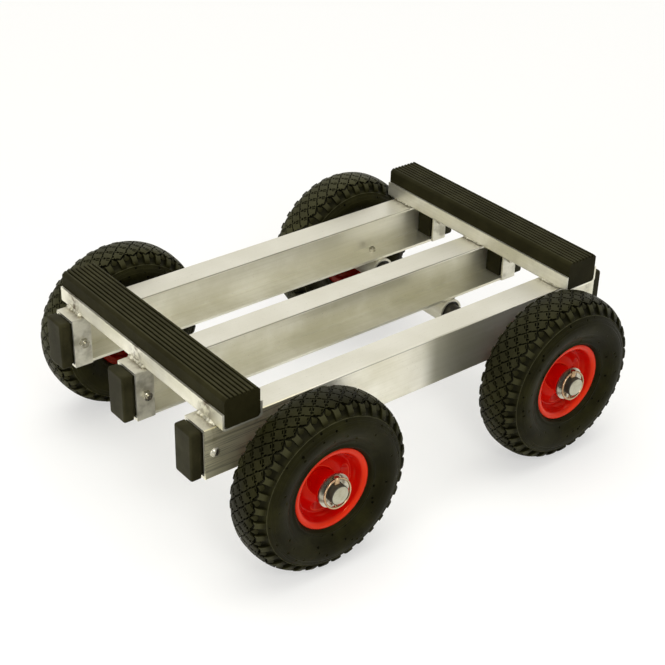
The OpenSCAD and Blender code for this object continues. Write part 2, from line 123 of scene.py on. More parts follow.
def plug(tree, socket, value):
    """Links a wire, or sets a plain value, on a socket."""
    if isinstance(value, Wire):
        tree.links.new(value.socket, socket)
    else:
        socket.default_value = value


def arithmetic(tree, operation, *values):
    """A maths node over wires or plain numbers."""
    node = tree.nodes.new("ShaderNodeMath")
    node.operation = operation
    for place, value in enumerate(values):
        plug(tree, node.inputs[place], value)
    return Wire(tree, node.outputs[0])


class Finish:
    """A material being built: node() adds any node, surface() closes it with the shader."""

    def __init__(self, name):
        self.material = bpy.data.materials.new(name)
        self.material.use_nodes = True
        self.tree = self.material.node_tree
        self.tree.nodes.clear()
        self.place = self.node("ShaderNodeTexCoord", {}, {}, "Object")

    def node(self, kind, settings, sockets, out=0):
        """Adds a node: its settings first, then values or links by socket."""
        node = self.tree.nodes.new(kind)
        for key, value in settings.items():
            setattr(node, key, value)
        for key, value in sockets.items():
            plug(self.tree, node.inputs[key], value)
        return Wire(self.tree, node.outputs[out])

    def axis(self, letter):
        """The place on the piece along one axis, in metres."""
        if not hasattr(self, "parts"):
            self.parts = self.tree.nodes.new("ShaderNodeSeparateXYZ")
            self.tree.links.new(self.place.socket, self.parts.inputs[0])
        return Wire(self.tree, self.parts.outputs[letter])

    def from_axle(self):
        """Distance from the axle of a wheel's point, whichever of the four wheels it is on."""
        across, up = abs(self.axis("X")) - WHEEL_X, self.axis("Z") - WHEEL_Z
        return (across * across + up * up) ** 0.5

    def facing(self, letter):
        """The surface normal's share along one axis of the scene, for pieces that never turn."""
        normal = self.node("ShaderNodeNewGeometry", {}, {}, "Normal")
        parts = self.tree.nodes.new("ShaderNodeSeparateXYZ")
        self.tree.links.new(normal.socket, parts.inputs[0])
        return Wire(self.tree, parts.outputs[letter])

    def attribute(self, name):
        """A point attribute of the mesh, 0 on meshes that lack it."""
        return self.node("ShaderNodeAttribute", {"attribute_name": name}, {}, "Fac")

    def stretched(self, scale):
        return self.node("ShaderNodeMapping", {}, {"Vector": self.place, "Scale": scale})

    def noise(self, scale, detail=3.0, rough=0.55, at=None):
        return self.node("ShaderNodeTexNoise", {}, {
            "Vector": at or self.place, "Scale": scale, "Detail": detail, "Roughness": rough}, "Fac")

    def mix(self, mask, low, high):
        """Colour mix: low where mask is 0, high where it is 1."""
        node = self.tree.nodes.new("ShaderNodeMix")
        node.data_type = "RGBA"
        plug(self.tree, node.inputs[0], mask)
        for place, value in ((6, low), (7, high)):
            plain = value if isinstance(value, Wire) else tuple(value) + (1.0,)
            plug(self.tree, node.inputs[place], plain)
        return Wire(self.tree, node.outputs[2])

    def bump(self, height, strength, distance):
        return self.node("ShaderNodeBump", {}, {
            "Height": height, "Strength": strength, "Distance": distance})

    def surface(self, settings):
        shader = self.node("ShaderNodeBsdfPrincipled", {}, settings)
        output = self.tree.nodes.new("ShaderNodeOutputMaterial")
        self.tree.links.new(shader.socket, output.inputs["Surface"])
        return self.material


def linear(red, green, blue, tone=1.0):
    """Linear colour of an 8 bit screen colour, each part first multiplied by tone."""
    parts = (red * tone, green * tone, blue * tone)
    return tuple(((c / 255 + 0.055) / 1.055) ** 2.4 if c > 10 else c / 3295 for c in parts)


def brushed_aluminium(name, along, tone=1.0, soot_at=(), patchy=0.0, near_rail=False):
    """Mill finish metal: long fine streaks along one axis, cloudy patches, scuffs and weld soot, and
    painted shade on upward faces at the top of the frame. patchy adds random dark patches, painted
    reflection mixed with smudges. soot_at lists (distance from the middle, reach, axis) of the soot's
    places. near_rail paints light
    and shade on the rails: a dark painted reflection on the near rail's outer web behind the middle,
    painted light with dark streaks along the grain on that web by the front wheel, and a painted shadow
    line just under every rail's top edge."""
    f = Finish(name)
    long_scale = {"X": (5.0, 260.0, 260.0), "Y": (260.0, 5.0, 260.0)}[along]
    soft_scale = {"X": (2.2, 26.0, 26.0), "Y": (26.0, 2.2, 26.0)}[along]
    streak = f.noise(1.0, 4.0, 0.65, f.stretched(long_scale))
    band = f.noise(1.0, 3.0, 0.6, f.stretched(soft_scale))
    cloud = f.noise(9.0, 4.0, 0.6)
    speck = f.noise(420.0, 2.0, 0.5)
    # Upward faces high on the frame, which get painted shade below.
    up = f.facing("Z").step(0.5, 0.95) * f.axis("Z").step(0.21, 0.22)
    colour = f.mix(band.step(0.3, 0.7), linear(211, 208, 187, tone), linear(222, 219, 203, tone))
    colour = f.mix(cloud.step(0.35, 0.7), colour, linear(240, 238, 226, tone))
    # Where patchy is given: random dark patches, painted reflection mixed with smudges.
    colour = f.mix(f.noise(34.0, 3.0, 0.6).step(0.42, 0.68) * patchy, colour, linear(112, 108, 88))
    colour = f.mix(streak.step(0.35, 0.75) * 0.17, colour, linear(184, 180, 156, tone))
    # Painted shade: upward faces at the top of the frame are toned darker.
    colour = f.mix(up * 0.75, colour, linear(188, 184, 168, tone))
    colour = f.mix(speck.step(0.66, 0.74) * 0.2, colour, linear(96, 90, 70))
    if soot_at:
        colour = f.mix((soot(f, soot_at) * 0.55).clamp(), colour, linear(80, 62, 34))
    if near_rail:
        outer = f.axis("Y").step(NEAR_WEB + 0.004, NEAR_WEB + 0.001)
        # Painted reflection: a dark patch on the near rail's outer web from about 20 mm behind the middle
        # rearwards, weaker further back.
        dark_reflection = f.axis("X").step(0.006, 0.04) * (0.56 - f.axis("X").step(0.05, 0.17) * 0.44)
        dark_reflection = (outer * dark_reflection * (0.85 + cloud.step(0.3, 0.7) * 0.3)).clamp()
        colour = f.mix(dark_reflection, colour, linear(116, 114, 84))
        # Painted light on the near rail's outer web by the front wheel: paler and yellower, with dark
        # streaks along the grain.
        front = outer * f.axis("X").step(-0.15, -0.25)
        colour = f.mix(front * 0.4, colour, linear(238, 228, 170))
        colour = f.mix(front * streak.step(0.5, 0.62) * 0.5, colour, linear(110, 104, 70))
        # Painted shadow: a thin dark line just under the top edge, on every rail.
        drop = RAIL_TOP - f.axis("Z")
        edge = drop.step(0.0002, 0.0008) * (1 - drop.step(0.0015, 0.0022))
        colour = f.mix(edge * (0.35 + cloud * 0.4), colour, linear(66, 60, 40))
    rough = 0.3 + streak * 0.1 + cloud * 0.12
    height = streak * 0.6 + speck * 0.25
    return f.surface({"Base Color": colour, "Metallic": 0.78, "Roughness": rough,
                      "Normal": f.bump(height, 0.04, 0.0005)})


def soot(f, places):
    """Mask of the soot by the welds: broken up, near the rails' tops and, across a crossbar, only on
    its outer side."""
    mask = None
    for place, reach, letter in places:
        near = (1 - (abs(abs(f.axis(letter)) - place) / reach)).clamp() ** 1.6
        near = near * f.axis("Z").step(0.19, 0.215) * f.noise(75.0, 4.0, 0.7).step(0.36, 0.6)
        if letter == "Y":
            near = near * abs(f.axis("X")).step(BAR_X, BAR_X + 0.02) * 1.7
        mask = near if mask is None else mask.math("MAXIMUM", near)
    return mask


def weld_metal():
    """Cast looking weld bead: paler where its bumped grain stands high, darker where it lies low, with dark
    patches.
    """
    f = Finish("weld_bead")
    grain = f.noise(300.0, 4.0, 0.6)
    patch = f.noise(70.0, 3.0, 0.6)
    colour = f.mix(grain.step(0.3, 0.7), linear(146, 141, 118), linear(208, 204, 184))
    colour = f.mix(patch.step(0.45, 0.7) * 0.6, colour, linear(60, 54, 38))
    return f.surface({"Base Color": colour, "Metallic": 0.85, "Roughness": 0.32 + grain * 0.3,
                      "Normal": f.bump(grain, 0.5, 0.001)})


def bright_steel(name, tone, rough, warm=1.0):
    """Zinc plated or machined steel: fine grain, slight stains. warm below 1 turns it to brass:
    green falls with warm, blue with its square."""
    f = Finish(name)
    grain = f.noise(600.0, 3.0, 0.6)
    stain = f.noise(55.0, 4.0, 0.65)
    clean = linear(226, 222 * warm, 204 * warm ** 2, tone)
    stained = linear(226, 220 * warm, 196 * warm ** 2, tone * 0.78)
    colour = f.mix(stain.step(0.35, 0.7), clean, stained)
    return f.surface({"Base Color": colour, "Metallic": 0.95, "Roughness": rough + stain * 0.15,
                      "Normal": f.bump(grain, 0.15, 0.0004)})


def axle_metal():
    """Round steel axle: pale sawn ends, dark sides, both blotched."""
    f = Finish("axle_steel")
    grain = f.noise(500.0, 3.0, 0.6)
    blotch = f.noise(60.0, 4.0, 0.65)
    end = abs(f.facing("Y")).step(0.85, 0.95)
    side = f.mix(blotch.step(0.3, 0.7), linear(24, 22, 14), linear(58, 54, 40))
    face = f.mix(blotch.step(0.35, 0.7), linear(186, 184, 166), linear(160, 156, 134))
    return f.surface({"Base Color": f.mix(end, side, face), "Metallic": 0.2 + end * 0.5,
                      "Roughness": 0.42 + grain * 0.15, "Normal": f.bump(grain, 0.15, 0.0004)})


def rubber(name, base, dust, grain, rough=0.62, tread=False, top=None):
    """Moulded rubber: warm black with grey bloom and fine grain. A tread also has a point attribute on its
    mesh: above 0 pale scuffs, partly painted sheen, and below 0 painted shade with grime in the grooves.
    Its sidewalls have small vent holes, painted black as the shade inside them, which mirror nothing. Faces
    above the height top are rubbed pale."""
    f = Finish(name)
    fine = f.noise(grain, 3.0, 0.6)
    bloom = f.noise(22.0, 4.0, 0.6)
    colour = f.mix(bloom.step(0.35, 0.75), base, dust)
    height = fine * 0.25
    if tread:
        scuff_and_shade = f.attribute("scuff_and_shade")
        # Pale scuffs, partly painted sheen on lug heads and block tops.
        colour = f.mix((scuff_and_shade * (0.3 + bloom * 0.5)).clamp(), colour, linear(104, 103, 74))
        # Painted shade, with grime, in the grooves and seams and on the floor under the tread.
        colour = f.mix((scuff_and_shade * -0.9).clamp(), colour, linear(9, 9, 5))
        cells = f.node("ShaderNodeTexVoronoi", {}, {"Vector": f.place, "Scale": 84.0}, "Distance")
        # Vent holes on the sidewall, painted near black below as the shade inside them.
        vent = cells.step(0.19, 0.14) * f.from_axle().step(0.112, 0.106)
        height = height - vent
    if top is not None:
        rubbed = f.axis("Z").step(top - 0.001, top - 0.0002)
        colour = f.mix(rubbed * (0.04 + bloom * 0.3), colour, linear(84, 82, 58))
    colour = f.mix(fine.step(0.62, 0.8) * 0.3, colour, tuple(c * 1.7 for c in dust))
    if tread:
        # Painted shade: the vent holes are near black.
        colour = f.mix(vent, colour, linear(2, 2, 1))
    return f.surface({"Base Color": colour, "Metallic": vent * 0.85 if tread else 0.0,
                      "Roughness": rough + fine * 0.15 - bloom * 0.1, "Specular IOR Level": 0.13,
                      "IOR": 1.35, "Specular Tint": (0.9, 0.85, 0.5, 1.0),
                      "Normal": f.bump(height, 1.0, 0.0005)})


def red_enamel(name, tone):
    """Glossy red powder coat: slight orange peel and clouds, with painted light on the flange that stands
    out and a painted highlight where a point attribute of the mesh marks the edge of a pocket. A tone below
    1 gives a darker copy: painted shade."""
    f = Finish(name)
    peel = f.noise(160.0, 2.0, 0.5)
    cloud = f.noise(30.0, 3.0, 0.5)
    flange = abs(f.axis("Y")).step(WHEEL_Y + 0.0245, WHEEL_Y + 0.028)
    flange = flange * f.from_axle().step(0.044, 0.048)
    # Painted light: the flange that stands out is paler and more orange.
    light = (flange * 0.64 + cloud.step(0.3, 0.75) * 0.22).clamp()
    colour = f.mix(light, linear(200 * tone, 5, 2), linear(234, 52, 20, tone))
    # Painted highlight round the edges of the pockets.
    colour = f.mix(f.attribute("pocket_highlight") * 0.5, colour, linear(238, 100, 66, tone))
    return f.surface({"Base Color": colour, "Roughness": 0.07 + cloud * 0.06, "Specular IOR Level": 0.2,
                      "Specular Tint": (1.0, 0.45, 0.2, 1.0), "Normal": f.bump(peel, 0.08, 0.0008)})


def plain_plastic(name, colour, rough):
    """Moulded plastic with a faint grain."""
    f = Finish(name)
    grain = f.noise(400.0, 2.0, 0.5)
    shade = f.mix(grain.step(0.3, 0.8) * 0.4, colour, tuple(c * 1.6 for c in colour))
    return f.surface({"Base Color": shade, "Roughness": rough + grain * 0.1,
                      "Normal": f.bump(grain, 0.15, 0.0004)})


RAIL_METAL = brushed_aluminium(
    "rail_aluminium", "X", 1.03, ((BAR_X - 0.034, 0.012, "X"), (BAR_X + 0.034, 0.012, "X")), near_rail=True)
BAR_METAL = brushed_aluminium(
    "crossbar_aluminium", "Y", 1.05, ((0.168, 0.03, "Y"), (0.0, 0.026, "Y")), 0.1)
SLEEVE_METAL = brushed_aluminium("sleeve_aluminium", "Y", 0.95)
PLATE_METAL = brushed_aluminium("plate_aluminium", "X", 0.95, (), 0.6)
WELD_METAL = weld_metal()
ZINC = bright_steel("zinc_steel", 0.84, 0.2)
HUB_STEEL = bright_steel("hub_steel", 0.84, 0.2)
SPRING_STEEL = bright_steel("spring_steel", 0.86, 0.12, 0.86)
BOLT_STEEL = bright_steel("bolt_steel", 0.84, 0.16)
AXLE_STEEL = axle_metal()
PAD_RUBBER = rubber("pad_rubber", linear(31, 29, 14), linear(42, 40, 22), 500.0, top=PAD_TOP)
BUFFER_RUBBER = rubber("buffer_rubber", linear(34, 32, 18), linear(50, 48, 31), 420.0, 0.5)
TYRE_RUBBER = rubber("tyre_rubber", linear(18, 17, 5), linear(34, 33, 13), 380.0, 0.42, True)
TUBE_RUBBER = plain_plastic("tube_rubber", linear(24, 23, 18), 0.5)
BUSH_PLASTIC = plain_plastic("bush_plastic", linear(26, 25, 18), 0.5)
RED_ENAMEL = red_enamel("red_enamel", 1.0)
# A darker copy of the red enamel for the inner rim halves: painted shade.
SHADED_ENAMEL = red_enamel("shaded_enamel", 0.5)


def paint(node, material):
    """Gives a CAD node one finish."""
    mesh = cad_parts[node].data
    mesh.materials.clear()
    mesh.materials.append(material)


def piece(name, points, faces, material, body, stands_for=(), crease=35):
    """Makes a mesh object from arrays of points and faces, in the row frame, on a CAD body."""
    mesh = bpy.data.meshes.new(name)
    mesh.from_pydata(np.asarray(points).reshape(-1, 3).tolist(), [], faces)
    mesh.update()
    mesh.shade_smooth()
    mesh.set_sharp_from_angle(angle=math.radians(crease))
    mesh.materials.append(material)
    made = bpy.data.objects.new(name, mesh)
    bpy.context.scene.collection.objects.link(made)
    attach(made, body)
    if stands_for:
        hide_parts(*stands_for)
    return made


def grid_faces(rows, columns, close_rows=False, close_columns=False, first=0):
    """Quads of a rows by columns grid of points: neighbours along both directions, wrapped if closed."""
    r = np.arange(rows if close_rows else rows - 1)
    c = np.arange(columns if close_columns else columns - 1)
    r, c = np.meshgrid(r, c, indexing="ij")
    r2 = (r + 1) % rows
    c2 = (c + 1) % columns
    quads = np.stack([r * columns + c, r * columns + c2, r2 * columns + c2, r2 * columns + c], -1)
    return quads.reshape(-1, 4) + first


def wheel_place(points, side_x, side_y, turn=0.0):
    """From a wheel's own frame (z out of the wheel, millimetres) to the row frame in metres."""
    c, s = math.cos(turn), math.sin(turn)
    x, y, z = points[..., 0], points[..., 1], points[..., 2]
    u, v = x * c - y * s, x * s + y * c
    # the outer side faces side_y, and the wheel's own x points along +X on both sides
    return np.stack([side_x * WHEEL_X + u * MM,
                     side_y * (WHEEL_Y + z * MM),
                     WHEEL_Z + v * MM], -1)


# Tyre outline, in millimetres, from crown to bead: the crown's radius and half the tyre's width, less
# how far each point lies below the one and inside the other
CROWN = TYRE_R / MM
HALF = TYRE_HALF / MM
OUTLINE = np.array([CROWN, HALF]) - np.array([
    (0, HALF), (1, 30), (3, 22.5), (6, 15.9), (10, 11.2), (15, 7.5), (22, 3.8), (30, 1.2), (37, 0.6),
    (44, 1.5), (51, 4.3), (58, 8.6), (61.5, 9.7), (64.5, 8.6), (67, 10.5), (69, 14.2), (72, 16.4),
    (77, 17.6)])


def smooth_curve(points, steps):
    """Catmull-Rom curve through the points: each span is the cubic whose end slopes join its
    neighbours, sampled in equal steps."""
    p = np.vstack([2 * points[0] - points[1], points, 2 * points[-1] - points[-2]])
    t = np.linspace(0, 1, steps, endpoint=False)[None, :, None]
    a, b, c, d = (p[i:len(p) - 3 + i, None, :] for i in range(4))
    square, cube = 2 * a - 5 * b + 4 * c - d, 3 * b - a - 3 * c + d
    curve = 0.5 * (2 * b + (c - a) * t + square * t ** 2 + cube * t ** 3)
    return np.vstack([curve.reshape(-1, 2), points[-1:]])


def outline_at(v, drop):
    """Point of the tyre's section at arc length v from the crown (signed), sunk by drop along the
    outline's normal. Returns radius and side."""
    half = smooth_curve(OUTLINE, 24)
    length = np.concatenate([[0], np.cumsum(np.hypot(*np.diff(half, axis=0).T))])
    slope = np.gradient(half, length, axis=0)
    w = np.abs(v)
    radius = np.interp(w, length, half[:, 0])
    side = np.interp(w, length, half[:, 1])
    dr = np.interp(w, length, slope[:, 0])
    dz = np.interp(w, length, slope[:, 1])
    size = np.hypot(dr, dz)
    return radius - drop * dz / size, (side + drop * dr / size) * np.sign(np.where(v == 0, 1, v))


LUGS = 35
PITCH = 2 * math.pi / LUGS
# Arc lengths from the crown: between the rows of blocks, to the shoulder's edge, to the lugs' ends and
# to where the sidewall is bare
ROW, SHOULDER, SIDE, WALL = 10.3, 38.0, 43.8, 61.0
# Depths: of the tread, of the step at the lugs' ends, of the seams between blocks, and of block walls
# and lug sides inside the tyre
TREAD, STEP, SEAM, BURIED = 4.2, 2.0, 1.5, 0.8
# Share of their width that the outer halves of the outermost blocks keep
SQUEEZE = 0.55
# Rings round the sidewalls: arc length, width and height
MARKS = ((44.4, 0.6, 0.8), (50.4, 0.5, 0.5), (52.4, 0.5, 0.3), (55.8, 0.5, 0.35), (78.0, 1.2, 0.4),
         (74.0, 0.9, 0.3))


def floor_depth(v):
    """How deep the tyre lies under its outline: the full tread depth up to the shoulder, a smaller
    step where the lugs end, and none from the middle of the sidewall on."""
    w = np.abs(v)
    fall = np.clip((SIDE - w) / (SIDE - SHOULDER), 0, 1)
    fade = np.clip((WALL - w) / (WALL - SIDE), 0, 1)
    return (TREAD - STEP) * fall * fall * (3 - 2 * fall) + STEP * fade * fade * (3 - 2 * fade)


def slump(v):
    """How far blocks and cogs lie below the lugs towards the shoulder, where they are worn round."""
    return 3.0 * np.clip((np.abs(v) - 19) / 13, 0, 1) ** 1.5


def ring_mark(v, at, width, height):
    """A small raised ring round the sidewall: a bell of the distance from the arc length at."""
    return height * np.exp(-((np.abs(v) - at) / width) ** 2)


# A tread block is the square |p|, |q| <= 1 stood on its corner. Lines of its cells, and its sipes as
# (p from, p to, q from, q to); sipes on the square's edge are shared with the next block.
CELLS_P = np.array([-1, -0.93, -0.86, -0.68, 0.0, 0.2, 0.52, 0.72, 0.86, 0.93, 1])
CELLS_Q = np.array([-1, -0.93, -0.86, -0.8, -0.54, -0.06, 0.08, 0.62, 0.67, 0.9, 0.93, 1])
SIPES = [(-0.68, 0.0, -0.8, -0.54), (-0.68, 0.0, 0.67, 0.9), (0.2, 0.52, 0.62, 1), (0.2, 0.52, -1, -0.8),
         (0.72, 1, 0.08, 0.62), (0.86, 1, -0.86, -0.06), (-1, -0.86, -0.86, -0.06)]


def tread_cells():
    """Quads of one tread block as (p, q, drop) corners: every cell lies at its own depth (top, seam
    or sipe) and upright walls join neighbours of unequal depth and close the block's four sides."""
    p, q = CELLS_P, CELLS_Q
    mid_p, mid_q = np.meshgrid((p[1:] + p[:-1]) / 2, (q[1:] + q[:-1]) / 2, indexing="ij")
    drop = np.where(np.maximum(np.abs(mid_p), np.abs(mid_q)) > CELLS_P[-2], SEAM, 0.0)
    for p0, p1, q0, q1 in SIPES:
        drop[(mid_p > p0) & (mid_p < p1) & (mid_q > q0) & (mid_q < q1)] = TREAD
    i, j = np.meshgrid(np.arange(len(p) - 1), np.arange(len(q) - 1), indexing="ij")
    corners = ((i, j), (i + 1, j), (i + 1, j + 1), (i, j + 1))
    cell = np.stack([np.stack([p[a], q[b], drop], -1) for a, b in corners], 2)
    deep = cell.copy()
    deep[..., 2] = TREAD + BURIED
    quads = [cell,
             np.stack([cell[:-1, :, 1], cell[1:, :, 0], cell[1:, :, 3], cell[:-1, :, 2]], 2),
             np.stack([cell[:, :-1, 3], cell[:, :-1, 2], cell[:, 1:, 1], cell[:, 1:, 0]], 2),
             np.stack([cell[:1, :, 0], cell[:1, :, 3], deep[:1, :, 3], deep[:1, :, 0]], 2),
             np.stack([cell[-1:, :, 1], deep[-1:, :, 1], deep[-1:, :, 2], cell[-1:, :, 2]], 2),
             np.stack([cell[:, :1, 0], deep[:, :1, 0], deep[:, :1, 1], cell[:, :1, 1]], 2),
             np.stack([cell[:, -1:, 3], cell[:, -1:, 2], deep[:, -1:, 2], deep[:, -1:, 3]], 2)]
    quads = np.vstack([part.reshape(-1, 4, 3) for part in quads])
    spread = np.ptp(quads, axis=1)
    quads = quads[(spread > 1e-6).sum(1) > 1]
    points, index = np.unique(quads.reshape(-1, 3).round(5), axis=0, return_inverse=True)
    return points, index.reshape(-1, 4)


def tread_blocks(dust_and_sheen):
    """Blocks between the shoulders, row by row, every other row turned half a pitch. The outer
    halves of the outermost rows are squeezed. Returns angle, arc length, drop, faces, and the tops'
    paleness with painted shade in the seams and sipes."""
    shape, quads = tread_cells()
    spots = np.array([(i + 0.5 * (abs(row) % 2), row) for row in range(-2, 3) for i in range(LUGS)], float)
    along = (shape[None, :, 0] + shape[None, :, 1]) / 4 + spots[:, None, 0]
    lean = (shape[None, :, 0] - shape[None, :, 1]) / 2 * ROW
    outer = (np.abs(spots[:, None, 1]) == 2) & (lean * spots[:, None, 1] > 0)
    across = spots[:, None, 1] * ROW + np.where(outer, lean * SQUEEZE, lean)
    # Block tops pale for dust with painted sheen; seams and sipes darker: painted shade in the grooves.
    shape_scuff_and_shade = np.interp(shape[:, 2], [0, SEAM, TREAD], [dust_and_sheen, -0.9, -1.0])
    drop = np.where(shape[None, :, 2] < TREAD, shape[None, :, 2] + slump(across), shape[None, :, 2])
    index = quads[None] + (np.arange(len(spots)) * len(shape))[:, None, None]
    return along * PITCH, across, drop, index.reshape(-1, 4), np.broadcast_to(shape_scuff_and_shade, along.shape)


# Shoulder pieces: arc length and half width in pitches along each, how far the head is notched, and
# the shift round the tyre in pitches
LUG = (np.array([29.0, 30.4, 32, 34, 36, 38, 40, 41.6, 43.2]),
       np.array([0.215, 0.2, 0.195, 0.198, 0.202, 0.206, 0.208, 0.21, 0.21]), 2.4, 0.0)
COG = (np.array([22.4, 24, 25.8, 27, 28.6, 30.2, 31.4, 32.6]),
       np.array([0.015, 0.07, 0.11, 0.17, 0.215, 0.205, 0.14, 0.04]), 0.0, 0.5)


def shoulder_pieces(kind, pale_full_to, pale_gone_at, slumped):
    """Lugs or cogs over both shoulders: a strip of the given half widths along the arc, level with
    the outline (or slumped), whose sides go down into the tyre. Their tops are pale, scuffs with painted
    sheen, fully up to the first arc length given and not at all from the second on; their sunk sides get
    painted shade."""
    length, half, notch, shift = kind
    u = np.array([-1.0, -1.0, -0.93, -0.35, 0.35, 0.93, 1.0, 1.0])
    rows = np.concatenate([[0], np.arange(len(length)), [len(length) - 1]])
    vv, uu = np.meshgrid(length[rows], u, indexing="ij")
    wide = uu * half[rows][:, None]
    vv[:2] -= notch * u ** 2
    sunk = np.zeros_like(vv)
    sunk[[0, -1]] = 1
    sunk[:, [0, -1]] = 1
    rounded = 0.25 * (np.abs(uu) > 0.99) + 1.2 * np.clip((vv - 41.5) / 1.7, 0, 1)
    drop = np.where(sunk > 0, floor_depth(vv) + BURIED, rounded + slumped * slump(vv))
    # Tops pale for scuffs with painted sheen; sunk sides darker: painted shade.
    scuff_and_shade = np.where(sunk > 0, -0.9, 0.34 * np.clip((pale_gone_at - vv) / (pale_gone_at - pale_full_to), 0, 1))
    faces = grid_faces(len(rows), len(u))
    parts = []
    for sign in (-1, 1):
        along = wide.ravel()[None] + shift + np.arange(LUGS)[:, None]
        across, deep, worn = (np.broadcast_to(a.ravel()[None], along.shape)
                              for a in (sign * vv, drop, scuff_and_shade))
        turned = faces if sign > 0 else faces[:, ::-1]
        index = turned[None] + (np.arange(LUGS) * vv.size)[:, None, None]
        parts.append((along * PITCH, across, deep, index.reshape(-1, 4), worn))
    return parts


def tyre(corner, lug_angle, dust_and_sheen):
    """A pneumatic tyre: the carcass is the outline turned round the axle, with rings on its
    sidewalls, and the blocks, cogs and lugs stand on it."""
    side_x, side_y = CORNERS[corner]
    around = 180
    v = np.concatenate([np.linspace(0, 42, 22), np.arange(42.5, 59, 0.5), np.linspace(60, 102, 34)])
    v = np.concatenate([-v[:0:-1], v])
    turn, vv = np.meshgrid(np.linspace(0, 2 * math.pi, around, endpoint=False), v, indexing="ij")
    raised = sum(ring_mark(vv, *mark) for mark in MARKS)
    # The first sidewall ring is painted pale: a painted highlight along its ridge.
    first_ring = ring_mark(vv, MARKS[0][0], MARKS[0][1], 0.5)
    # Painted shade, with grime, on the floor under the tread, fading out towards the lugs' ends.
    groove_shade_and_dirt = np.interp(np.abs(vv), [SHOULDER, SIDE], [0.8, 0.0])
    carcass = grid_faces(around, len(v), close_rows=True)[:, ::-1]
    stacks = [(turn, vv, floor_depth(vv) - raised, carcass, first_ring - groove_shade_and_dirt)]
    stacks.append(tread_blocks(dust_and_sheen))
    stacks.extend(shoulder_pieces(LUG, 35.0, 40.0, 0.0))
    stacks.extend(shoulder_pieces(COG, 10.0, 34.0, 1.0))
    points, faces, worn, count = [], [], [], 0
    for turn, v, drop, quads, scuff_and_shade in stacks:
        radius, side = outline_at(v.ravel(), drop.ravel())
        angle = turn.ravel() + lug_angle
        points.append(np.stack([radius * np.cos(angle), radius * np.sin(angle), side], -1))
        faces.append(quads + count)
        worn.append(scuff_and_shade.ravel())
        count += len(radius)
    placed = wheel_place(np.vstack(points), side_x, side_y)
    quads = np.vstack(faces)
    if side_y < 0:
        quads = quads[:, ::-1]
    made = piece(f"tyre_tread_{corner}", placed, quads.tolist(), TYRE_RUBBER, f"wheel_{corner}",
                 (f"tyre_{corner}",))
    made.data.attributes.new("scuff_and_shade", "FLOAT", "POINT").data.foreach_set("value", np.concatenate(worn))
    return made


# Section of a pressed rim half, in millimetres: radius and height from the joint of the halves
RIM_FACE = np.array([
    (22.6, 14.0), (22.6, 26.0), (22.8, 28.3), (23.8, 28.9), (25.0, 28.4), (25.6, 27.0), (27.0, 25.6),
    (31.0, 22.0), (36.0, 17.2), (40.0, 13.4), (42.4, 11.8), (43.6, 12.4), (45.2, 14.8), (47.4, 18.0),
    (49.4, 22.4), (51.4, 26.0), (54.0, 28.0), (57.0, 28.8), (59.2, 28.5), (60.0, 27.6), (59.6, 26.6)])
RIM_BACK = np.array([
    (57.0, 26.3), (53.4, 25.6), (51.0, 24.2), (50.6, 20.0), (49.6, 16.4), (46.3, 13.8), (46.2, 6.0),
    (46.2, 0.0), (43.2, 0.0), (43.0, 6.0), (40.0, 9.0), (32.0, 15.6), (26.0, 21.0), (24.5, 16.0)])
# The pockets in the dish: balls of this radius (flattened a little), their centres this far from the
# axle and at this height
POCKETS, POCKET_R, POCKET_OUT, POCKET_HEIGHT = 3, 21.5, 25.5, 30.0


def pocket_depths(x, y, height):
    """How far each of the round bowls lies below the dish at a place, bowl by bowl: they stand at
    equal turns round the axle, each a ball's cap, and end at their circle."""
    depths = []
    for i in range(POCKETS):
        a = 2 * math.pi * i / POCKETS
        d = np.hypot(x - POCKET_OUT * math.cos(a), y - POCKET_OUT * math.sin(a))
        bowl = POCKET_HEIGHT - np.sqrt(np.maximum(POCKET_R ** 2 - d ** 2, 0.0)) * 0.98
        depths.append(height - np.where(d < POCKET_R, bowl, POCKET_HEIGHT + 10.0))
    return np.array(depths)


def rim(corner, turn):
    """The outer pressed rim half: its section turned round the axle, the dish sunk at three round
    pockets between the nose and the well. A smooth maximum eases the bowls into the dish, and a point
    attribute, a bell round their edges, carries the painted highlight there."""
    side_x, side_y = CORNERS[corner]
    section = np.vstack([smooth_curve(RIM_FACE, 5), smooth_curve(RIM_BACK, 3)])
    around = 240
    turns = np.linspace(0, 2 * math.pi, around, endpoint=False)
    angle, index = np.meshgrid(turns, np.arange(len(section)), indexing="ij")
    radius = section[index, 0]
    height = section[index, 1]
    x, y = radius * np.cos(angle), radius * np.sin(angle)
    inside = np.clip((radius - 25.2) / 1.2, 0, 1) * np.clip((45.0 - radius) / 1.5, 0, 1)
    depths = pocket_depths(x, y, 28.2 - (radius - 25.4))
    sink = np.maximum(0.5 * (depths + np.sqrt(depths ** 2 + 2.0)) - 0.35, 0).max(0) * inside
    # Bell round the pockets' edges, for the painted highlight there.
    pocket_highlight = np.exp(-(depths / 0.9) ** 2).max(0) * inside
    height = np.where(height > 1.0, height - sink, height)
    placed = wheel_place(np.stack([x, y, height], -1), side_x, side_y, turn)
    quads = grid_faces(around, len(section), close_rows=True, close_columns=True)
    if side_y > 0:
        quads = quads[:, ::-1]
    made = piece(f"rim_pressing_{corner}", placed, quads.tolist(), RED_ENAMEL, f"wheel_{corner}",
                 (f"rim_outer_{corner}",), crease=50)
    made.data.attributes.new("pocket_highlight", "FLOAT", "POINT").data.foreach_set("value", pocket_highlight.ravel())
    return made


